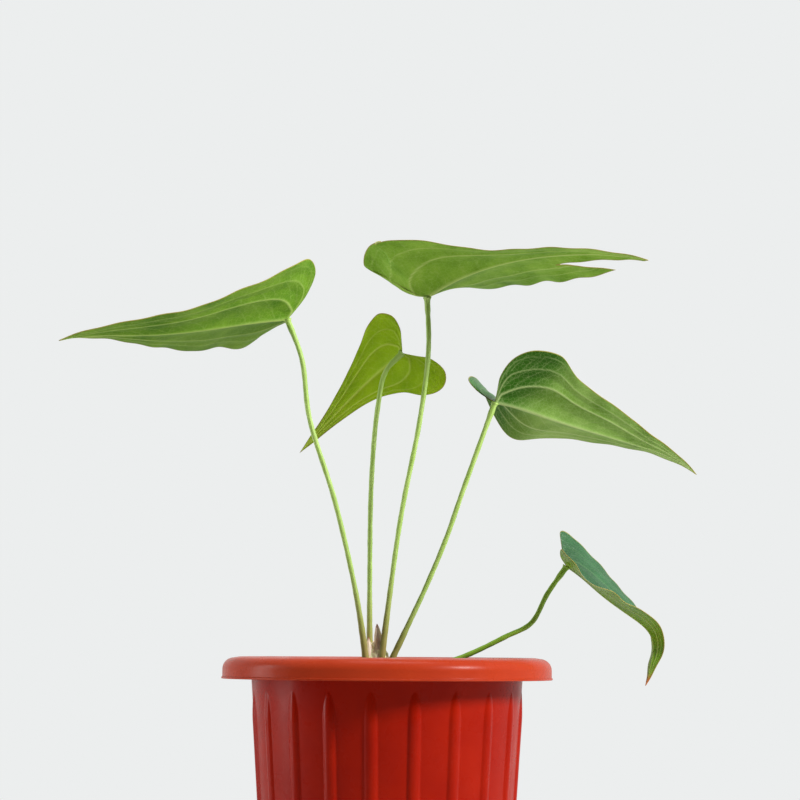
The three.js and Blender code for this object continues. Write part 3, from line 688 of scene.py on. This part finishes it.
def build_grains(material):
    """Loose grains and bark crumbs that lie on the bed."""
    points, faces = [], []
    for _ in range(GRAIN_COUNT):
        reach = (SOIL_RADIUS - 3) * math.sqrt(rng.random())
        t = rng.uniform(0, 2 * math.pi)
        x, y = reach * math.cos(t), reach * math.sin(t)
        size = rng.uniform(0.5, 1.5) if rng.random() < 0.85 else rng.uniform(1.5, 2.8)
        turn = Matrix.Rotation(rng.uniform(0, 6.28), 3, "Z")
        turn = turn @ Matrix.Rotation(rng.uniform(-.6, .6), 3, "X")
        stretch = (rng.uniform(.8, 1.7), rng.uniform(.6, 1.1), rng.uniform(.4, .8))
        z = soil_height(x, y) + size * 0.15
        start = len(points)
        for corner in GRAIN_CORNERS:
            p = turn @ Vector([c * s * size * rng.uniform(.8, 1.2) for c, s in zip(corner, stretch)])
            points.append((x + p.x, y + p.y, z + p.z))
        faces += [(start + a, start + b, start + c) for a, b, c in GRAIN_SIDES]
    make_piece("soil_grains", points, faces, [material], sharp=25)


# ---- the crown and its bracts ----


CROWN_HEIGHT = 29
CROWN_BURIED = 6
# its radius at shares of its height above the soil
CROWN_OUTLINE = ([-0.3, 0, .3, .6, .8, .93, 1], [7, 8, 7.8, 6.8, 5.2, 3.4, .3])
KNOT_HEIGHT = 0.9
SCAR_HEIGHT = 0.24


def build_crown(material):
    """A knotty stem with the leaves' ring scars, rounded off at its top."""
    count, rings = 72, 80
    points = []
    for z in np.linspace(SOIL_TOP - CROWN_BURIED, SOIL_TOP + CROWN_HEIGHT, rings):
        up = (z - SOIL_TOP) / CROWN_HEIGHT
        base = np.interp(up, *CROWN_OUTLINE)
        for k in range(count):
            t = 2 * math.pi * k / count
            p = Vector((math.cos(t), math.sin(t), z * 0.12))
            knots = KNOT_HEIGHT * noise.fractal(p * 1.6, 1.0, 2.0, 3)
            scar = SCAR_HEIGHT * math.sin(z * 1.6 + 2.2 * math.sin(t + z * 0.3)) * (up < .9)
            radius = max(base + knots * min(1, base / 4) + scar * 0.5, 0.2)
            points.append((CROWN_X + radius * math.cos(t), CROWN_Y + radius * math.sin(t), z))
    make_piece("crown_stem", points, tube_faces(rings, count), [material], ("crown",))


# path: the sheath's middle line. turn: the direction of its back, in degrees from +X toward +Y.
BRACTS = {
    "inner": dict(path=[(-6, -.6, 160), (-5.4, -1.4, 176), (-6.2, -1.6, 190)], radius=3.5, turn=-90),
    "outer": dict(path=[(-10, -1, 158), (-10.4, -1.2, 170), (-11.2, -1.0, 182)], radius=2.8, turn=-110),
}


def build_bract(name, bract, material):
    """A dry papery sheath: a gutter-shaped sheet that narrows to a curled point."""
    steps, across = 46, 19
    thickness, raggedness = 0.22, 0.25
    # half the angle that it wraps, in degrees, and what the tip has less of it
    open_at_base, closing = 125, 45
    line, ways, _ = even_curve(bract["path"], steps)
    sides, ups = turning_frames(ways, (1, 0, 0))
    layers, tips = [], []
    for face in (0.5, -0.5):
        for i in range(steps):
            f = i / (steps - 1)
            radius = bract["radius"] * math.sqrt(max(0.015, 1 - f ** 2.1))
            half_open = open_at_base - closing * f
            for k in range(across):
                s = -1 + 2 * k / (across - 1)
                turn = math.radians(bract["turn"] + half_open * s)
                ragged = raggedness * noise.noise(Vector((f * 9, s * 3, bract["radius"])))
                r = radius * (1 + ragged * 0.5) + face * thickness
                p = line[i] + sides[i] * math.cos(turn) * r + ups[i] * math.sin(turn) * r
                layers.append(p + ways[i] * (0.9 * ragged * f - 1.6 * f * abs(s) ** 3))
                tips.append(smooth(0.88, 1.0, f))
    size = steps * across
    faces = []
    for i in range(steps - 1):
        for k in range(across - 1):
            a, b = i * across + k, i * across + k + 1
            c, d = b + across, a + across
            faces += [(a, b, c, d), (size + a, size + d, size + c, size + b)]
    # round the sheet's margin: along the base, up one side, back along the point and down the other
    last = across - 1
    margin = [*range(across), *(i * across + last for i in range(1, steps))]
    margin += [(steps - 1) * across + k for k in range(last - 1, -1, -1)]
    margin += [i * across for i in range(steps - 2, 0, -1)]
    for a, b in zip(margin, margin[1:] + margin[:1]):
        faces.append((a, size + a, size + b, b))
    make_piece(f"bract_{name}_sheath", layers, faces, [material], (f"bract_{name}",),
               values={"tip": tips})


# ---- the leaves ----

SPINE_START = -0.4
SPINE_STEPS = 420
LOBE_BEND = 0.12
FOLD_START = -0.2
WAVE_REACH = 0.33
# the row of a half that starts where the midrib does, and the rows after it
MIDRIB_ROW, MIDRIB_ROWS = 0.33, 0.67


def spine(leaf):
    """The midrib's stations: share along it, points, side and up directions."""
    a = np.linspace(SPINE_START, 1, SPINE_STEPS + 1)
    behind = np.clip(-a / LOBE_BEND, 0, 1)
    pitch = np.radians(course(leaf["pitch"], a) * (1 - behind) + leaf["lobe_pitch"] * behind)
    heading = np.radians(course(leaf["heading"], a))
    roll = np.radians(course(leaf["roll"], a))[:, None]
    level = np.cos(pitch)
    forward = np.stack([np.cos(heading) * level, np.sin(heading) * level, np.sin(pitch)], 1)
    step = (1 - SPINE_START) / SPINE_STEPS
    moves = (forward[1:] + forward[:-1]) / 2 * step * leaf["length"]
    points = np.vstack([np.zeros(3), np.cumsum(moves, 0)])
    joint = points[int(round(-SPINE_START / step))]
    points = points - joint + np.array(leaf["at"], float)
    flat_side = np.stack([-np.sin(heading), np.cos(heading), 0 * heading], 1)
    flat_up = np.cross(forward, flat_side)
    side = flat_side * np.cos(roll) + flat_up * np.sin(roll)
    up = flat_up * np.cos(roll) - flat_side * np.sin(roll)
    return a, points, side, up


def blade_point(leaf, stations, a, b):
    """Points of the bent blade at shares a along the midrib and b out to the side, left positive."""
    grid, points, side, up = stations

    def at(rows):
        return np.stack([np.interp(a, grid, rows[:, k]) for k in range(3)], -1)

    t = (a - FOLD_START) / (1 - FOLD_START)
    lifts, waves = [], []
    for _, fold, (swing, turns, start) in (leaf["left"], leaf["right"]):
        lifts.append(np.radians(course(fold, t)))
        waves.append(swing * np.sin(2 * math.pi * turns * a + math.radians(start)))
    lift = np.where(b >= 0, lifts[0], lifts[1])
    wave = np.where(b >= 0, waves[0], waves[1]) * (np.abs(b) / WAVE_REACH) ** 1.5
    distance = np.abs(b) * leaf["length"]
    sideways = (np.sign(b) * distance * np.cos(lift))[..., None]
    return at(points) + at(side) * sideways + at(up) * (distance * np.sin(lift) + wave)[..., None]


def blade_normal(leaf, stations, a, b):
    small = 0.01
    along = blade_point(leaf, stations, a + small, b) - blade_point(leaf, stations, a - small, b)
    across = blade_point(leaf, stations, a, b + small) - blade_point(leaf, stations, a, b - small)
    normal = np.cross(along, across)
    return normal / np.linalg.norm(normal, axis=-1)[..., None]


def midrib_share(t):
    """How far along the midrib row t starts."""
    return np.maximum(0.02 * t, (np.maximum(0, t - MIDRIB_ROW) / MIDRIB_ROWS) ** 1.1)


def half_place(outline, t, share):
    """Shares along and out for a row t and a share from the midrib to the margin."""
    edge = through(outline, t)
    a = midrib_share(t) * (1 - share) + edge[..., 0] * share
    return a, np.maximum(edge[..., 1], 0) * share


def half_width(outline, t):
    """The length of row t from the midrib to the margin, as a share of the blade's length."""
    edge = through(outline, t)
    return np.hypot(edge[..., 0] - midrib_share(t), np.maximum(edge[..., 1], 0))


def half_veins(outline, length, wobble):
    """Each vein of one half: its points in mm, width at start and end, strength, is it a main one."""
    def drawn(path, steps):
        rows, shares = through(path, np.linspace(0, 1, steps)).T
        return np.stack(half_place(outline, rows, shares), 1) * length

    reach = np.linspace(0, 1, 40)
    lines = [(np.stack([reach, 0 * reach], 1) * length, *MIDRIB_WIDTHS, 1.0, True)]
    lines += [(drawn(path, 34), start, end, strength, True) for path, start, end, strength in MAIN_VEINS]
    for count, first, step, drift, path in SMALL_VEINS:
        for k in range(count):
            row = first + step * k
            shift = wobble.uniform(-SMALL_VEIN_SHIFT, SMALL_VEIN_SHIFT)
            shares = [path[0][1] + drift * k] + [share for _, share in path[1:]]
            rows = [min(max(row + on + shift, 0), 0.995) for on, _ in path]
            points = drawn(list(zip(rows, shares)), 12)
            lines.append((points, *SMALL_VEIN_WIDTHS, SMALL_VEIN_STRENGTH, False))
    return lines


def distance_to(line, points):
    """The distance from each point to a line of points, and how far along the line (0 to 1)."""
    best = np.full(len(points), 1e9)
    where = np.zeros(len(points))
    last = len(line) - 1
    for k in range(last):
        p, q = line[k], line[k + 1]
        way = q - p
        size = way @ way
        if size < 1e-12:
            continue
        f = np.clip(((points - p) @ way) / size, 0, 1)
        gap = np.linalg.norm(points - p - f[:, None] * way, axis=1)
        closer = gap < best
        best = np.where(closer, gap, best)
        where = np.where(closer, (k + f) / last, where)
    return best, where


BLADE_ROWS = 240
BLADE_COLUMNS = 56
# all in millimetres; the puff and the veins' widths are those of a blade of the usual length
USUAL_LENGTH = 150
PUFF = 1.2
VALLEY_WIDTH = 5.5
RIPPLE = 0.28
MARGIN_THICK, MORE_THICK = 0.17, 0.10
VEIN_SUNK_ABOVE, VEIN_PROUD_BELOW = 0.22, 0.62


def sheet_quads(index, keep):
    """The blade's quads, or triangles where a row ends in a point, that touch a corner to be kept."""
    quads = []
    for r in range(index.shape[0] - 1):
        for c in range(index.shape[1] - 1):
            if keep[r:r + 2, c:c + 2].any():
                corners = []
                for i in (index[r, c], index[r, c + 1], index[r + 1, c + 1], index[r + 1, c]):
                    if i not in corners:
                        corners.append(int(i))
                if len(corners) > 2:
                    quads.append(corners)
    return quads


def vein_marks(leaf, a, b, wobble):
    """At each point: how strong the vein there is, its relief, and how deep the quilting lies."""
    length = leaf["length"]
    flat = np.stack([a * length, np.abs(b) * length], 1)
    vein, relief, valley = np.zeros(len(a)), np.zeros(len(a)), np.zeros(len(a))
    reach = 14
    for half, mask in ((leaf["left"], b >= 0), (leaf["right"], b < 0)):
        here = flat[mask]
        for line, start, end, strength, main in half_veins(half[0], length, wobble):
            low, high = line.min(0) - reach, line.max(0) + reach
            near = ((here > low) & (here < high)).all(1)
            gap, along = distance_to(line, here[near])
            width = (start + (end - start) * along) * (length / USUAL_LENGTH) ** 0.5
            rows = np.flatnonzero(mask)[near]
            vein[rows] = np.maximum(vein[rows], strength * np.exp(-(gap / width) ** 2))
            raised = strength * width * np.exp(-(gap / (1.5 * width)) ** 2)
            relief[rows] = np.maximum(relief[rows], raised)
            if main:
                depth = np.exp(-(gap / VALLEY_WIDTH) ** 2) * (1 - 0.6 * along)
                valley[rows] = np.maximum(valley[rows], depth)
    return vein, relief, valley


def build_blade(name, leaf, upper, lower):
    length = leaf["length"]
    halves = (leaf["left"], leaf["right"])
    t = np.linspace(0, 1, BLADE_ROWS + 1)[:, None]
    column = np.arange(-BLADE_COLUMNS, BLADE_COLUMNS + 1)[None, :]
    share = np.abs(column) / BLADE_COLUMNS
    on_left = (column <= 0) & (t >= 0)
    (left_a, left_b), (right_a, right_b) = [half_place(half[0], t + 0 * share, share + 0 * t)
                                            for half in halves]
    a, b = np.where(on_left, left_a, right_a), np.where(on_left, left_b, -right_b)
    edge_gap = (1 - share) * np.where(on_left, *[half_width(half[0], t) for half in halves]) * length
    keep = np.ones(a.shape, bool)
    if name == "top":
        a, b, keep, edge_gap = tear_open(a, b, edge_gap, length)
    # the first and the last row are points, the joint and the blade's tip
    index = np.arange(a.size).reshape(a.shape)
    index[0, :] = index[0, 0]
    index[-1, :] = index[-1, 0]
    quads = sheet_quads(index, keep)
    used = sorted({i for quad in quads for i in quad})
    renumber = {old: new for new, old in enumerate(used)}
    quads = [tuple(renumber[i] for i in quad) for quad in quads]
    a, b, edge_gap = a.ravel()[used], b.ravel()[used], edge_gap.ravel()[used]
    vein, relief, valley = vein_marks(leaf, a, b, random.Random(name))
    # the middle of the sheet, swollen between the veins and rippled at the margin, then its two sides
    stations = spine(leaf)
    normal = blade_normal(leaf, stations, a, b)
    puff = PUFF * (1 - valley) * smooth(0, 14, edge_gap) * (length / USUAL_LENGTH)
    ripple = RIPPLE * np.sin(a * 41 + 3 * b + 1) * smooth(9, 0, edge_gap)
    middle = blade_point(leaf, stations, a, b) + normal * (puff + ripple)[:, None]
    thick = MARGIN_THICK + MORE_THICK * smooth(0, 4, edge_gap)
    top = middle + normal * (thick - VEIN_SUNK_ABOVE * relief)[:, None]
    bottom = middle - normal * (thick + VEIN_PROUD_BELOW * relief)[:, None]
    count = len(a)
    edges = {(i, j): None for quad in quads for i, j in zip(quad, quad[1:] + quad[:1])}
    faces = quads + [tuple(count + i for i in reversed(quad)) for quad in quads]
    faces += [(j, i, count + i, count + j) for i, j in edges if (j, i) not in edges]
    which = [0] * len(quads) + [1] * (len(faces) - len(quads))
    # flat is the place in the flat blade, which the clouds and the net follow; leaves differ in it
    marks = {
        "vein": vein, "edge": smooth(0.95, 0.1, edge_gap), "dry": smooth(0.90, 0.965, a),
        # the rear lobes' mask, where painted shade is laid on
        "rear_shade": smooth(0.30, 0.10, a + 0.35 * (0.2 - np.abs(b))),
        "flat": np.stack([a * length, b * length, 0 * a + 37 * len(name)], 1),
    }
    make_piece(f"leaf_{name}_blade", np.vstack([top, bottom]), faces, [upper, lower],
               (f"blade_{name}",), which=which,
               values={key: np.concatenate([mark, mark]) for key, mark in marks.items()})


def tear_open(a, b, edge_gap, length):
    """Opens the tear: points inside the wedge move onto its sides, and what is left inside goes."""
    end = np.array(TEAR["end"])
    ways = [np.array(TEAR[k]) - end for k in ("beside_midrib", "beside_flap")]
    ways = [w / np.linalg.norm(w) for w in ways]
    rel = np.stack([a, b], -1) - end
    sides = [rel[..., 0] * w[1] - rel[..., 1] * w[0] for w in ways]
    inside = (sides[0] < 0) & (sides[1] > 0) & (rel @ ways[0] > 0)
    keep = ~inside
    near_sides = []
    for w in ways:
        f = np.maximum(rel @ w, 0)[..., None]
        near_sides.append((end + f * w, np.linalg.norm(rel - f * w, axis=-1)))
    first = near_sides[0][1] < near_sides[1][1]
    snapped = np.where(first[..., None], near_sides[0][0], near_sides[1][0])
    a = np.where(inside, snapped[..., 0], a)
    b = np.where(inside, snapped[..., 1], b)
    gap = np.minimum(near_sides[0][1], near_sides[1][1]) * length
    gap = np.where(inside, 0, gap)
    in_front = rel @ ways[0] > -0.01
    return a, b, keep, np.where(in_front, np.minimum(edge_gap, gap), edge_gap)


PETIOLE_RADIUS = 1.5
BASE_SWELL, SHEATH_SWELL = 0.55, 1.1
KNEE_SWELL, FLARE = 0.32, 0.9
GROOVE = 0.07
BELOW_BLADE = 0.25


def build_petiole(name, leaf, material):
    """A thin stalk, thicker at its base, with a knee and a flare where it meets the blade."""
    steps, sides_count = 190, 22
    line, ways, length = even_curve([*leaf["stalk"], leaf["at"]], steps)
    sides, ups = turning_frames(ways, (1, 0, 0.01))
    f = np.linspace(0, 1, steps)
    mm = f * length
    radius = PETIOLE_RADIUS + BASE_SWELL * (1 - smooth(0.03, 0.3, f))
    radius = radius + SHEATH_SWELL * (1 - smooth(0, 14, mm))
    knee = smooth(length - 12, length - 7, mm)
    flare = smooth(length - 3.2, length + 0.4, mm)
    radius = radius + KNEE_SWELL * knee + FLARE * flare ** 2
    # slight unevenness
    radius = radius + 0.05 * np.sin(mm * 0.31 + len(name)) + 0.04 * np.sin(mm * 0.83)
    turns = np.linspace(0, 2 * math.pi, sides_count, endpoint=False)
    groove = 1 - GROOVE * np.maximum(0, np.cos(turns - 1.2)) ** 6
    points, along, flat = [], [], []
    for i in range(steps):
        ring = radius[i] * groove
        across, up = np.cos(turns) * ring, np.sin(turns) * ring
        points.append(line[i] + np.outer(across, sides[i]) + np.outer(up, ups[i]))
        along += [f[i]] * sides_count
        flat += [(2.0 * math.cos(t), mm[i], 2.0 * math.sin(t)) for t in turns]
    points = np.vstack(points)
    # the end is flattened just under the blade
    grid, _, _, blade_up = spine(leaf)
    joint_up = np.array([np.interp(0, grid, blade_up[:, k]) for k in range(3)])
    over = (points - np.array(leaf["at"])) @ joint_up + BELOW_BLADE
    points = points - np.outer(np.maximum(over, 0), joint_up)
    make_piece(f"leaf_{name}_petiole", points, tube_faces(steps, sides_count), [material],
               (f"petiole_{name}",), values={"along": along, "flat": flat})


# ---- everything together ----

build_pot(pot_look())
build_soil(soil_look())
build_grains(grain_look())
build_crown(crown_look())
bract = bract_look()
for name, shape in BRACTS.items():
    build_bract(name, shape, bract)

blade_sides = {name: blade_look(name, **made) for name, made in BLADE_LOOKS.items()}
petiole_green = petiole_look("petiole", (134, 168, 66), (178, 204, 118), (140, 106, 60))
petiole_dark = petiole_look("petiole_low", (104, 148, 30), (146, 180, 66), (118, 158, 50))
for name, leaf in LEAVES.items():
    upper, lower, slot = BLADE_SIDES[name]
    build_blade(name, leaf, blade_sides[upper], blade_sides[lower])
    build_petiole(name, leaf, petiole_dark if name == "low" else petiole_green)

# ---- stage, light and camera ----

scene = bpy.context.scene
scene.view_settings.view_transform = "Standard"
world = bpy.data.worlds.new("pale")
world.use_nodes = True
sky = world.node_tree


def sky_node(kind):
    return sky.nodes.new("ShaderNode" + kind)


# the room's light is bright from behind and dim from in front, and the camera sees it all pale
seen = sky.nodes["Background"]
seen.inputs["Color"].default_value = linear(236, 238, 238)
lit = sky_node("Background")
lit.inputs["Color"].default_value = linear(240, 240, 238)
way = sky_node("SeparateXYZ")
sky.links.new(sky_node("TexCoord").outputs["Generated"], way.inputs[0])
dim = sky_node("MapRange")
dim.interpolation_type = "SMOOTHSTEP"
sky.links.new(way.outputs["Y"], dim.inputs[0])
for name, number in (("From Min", -0.85), ("From Max", 0.35), ("To Min", 0.02), ("To Max", 0.9)):
    dim.inputs[name].default_value = number
sky.links.new(dim.outputs[0], lit.inputs["Strength"])
choose = sky_node("MixShader")
sky.links.new(sky_node("LightPath").outputs["Is Camera Ray"], choose.inputs[0])
sky.links.new(lit.outputs[0], choose.inputs[1])
sky.links.new(seen.outputs[0], choose.inputs[2])
sky.links.new(choose.outputs[0], sky.nodes["World Output"].inputs["Surface"])
scene.world = world

STAGE_RADIUS, STAGE_DEPTH = 1.3, 0.0002
bpy.ops.mesh.primitive_circle_add(vertices=96, radius=STAGE_RADIUS, fill_type="NGON",
                                  location=(0, 0, -STAGE_DEPTH))
floor = bpy.context.active_object
floor.name = "floor"
ground = Look("floor", 0.8, 0.2)
ground.colour((196, 196, 194))
floor.data.materials.append(ground.material)

# where each light stands, what it is aimed at, its two sides in metres, and its power in watts
LIGHTS = {
    "key": ((1.5, -0.9, 1.2), (0, 0, 0.17), (0.30, 0.45), 54),
    "side": ((-1.5, 0.1, 0.35), (0, 0, 0.2), (0.35, 1.2), 12),
    "above": ((0.1, 0.0, 1.6), (0, 0, 0.2), (0.8, 0.8), 12),
}
for name, (place, aim, sides, power) in LIGHTS.items():
    data = bpy.data.lights.new(name, "AREA")
    data.shape = "RECTANGLE"
    data.size, data.size_y = sides
    data.energy = power
    lamp = bpy.data.objects.new(name, data)
    scene.collection.objects.link(lamp)
    lamp.location = place
    lamp.rotation_euler = (Vector(aim) - Vector(place)).to_track_quat("-Z", "Y").to_euler()

# the camera looks along +Y, slightly up, and is turned a little
CAMERA_AT = (0.0068, -1.6, 0.175)
CAMERA_LENS = 118.5
PITCH, ROLL = math.radians(5.4), math.radians(0.35)
view_way = Vector((0, math.cos(PITCH), math.sin(PITCH)))
plain_up = Vector((0, -math.sin(PITCH), math.cos(PITCH)))
plain_right = Vector((1, 0, 0))
cam_up = math.cos(ROLL) * plain_up - math.sin(ROLL) * plain_right
cam_right = math.cos(ROLL) * plain_right + math.sin(ROLL) * plain_up
camera_data = bpy.data.cameras.new("camera")
camera_data.lens = CAMERA_LENS
camera = bpy.data.objects.new("camera", camera_data)
scene.collection.objects.link(camera)
turned = Matrix((cam_right, cam_up, -view_way)).transposed().to_4x4()
camera.matrix_world = Matrix.Translation(CAMERA_AT) @ turned
scene.camera = camera

bpy.context.view_layer.update()
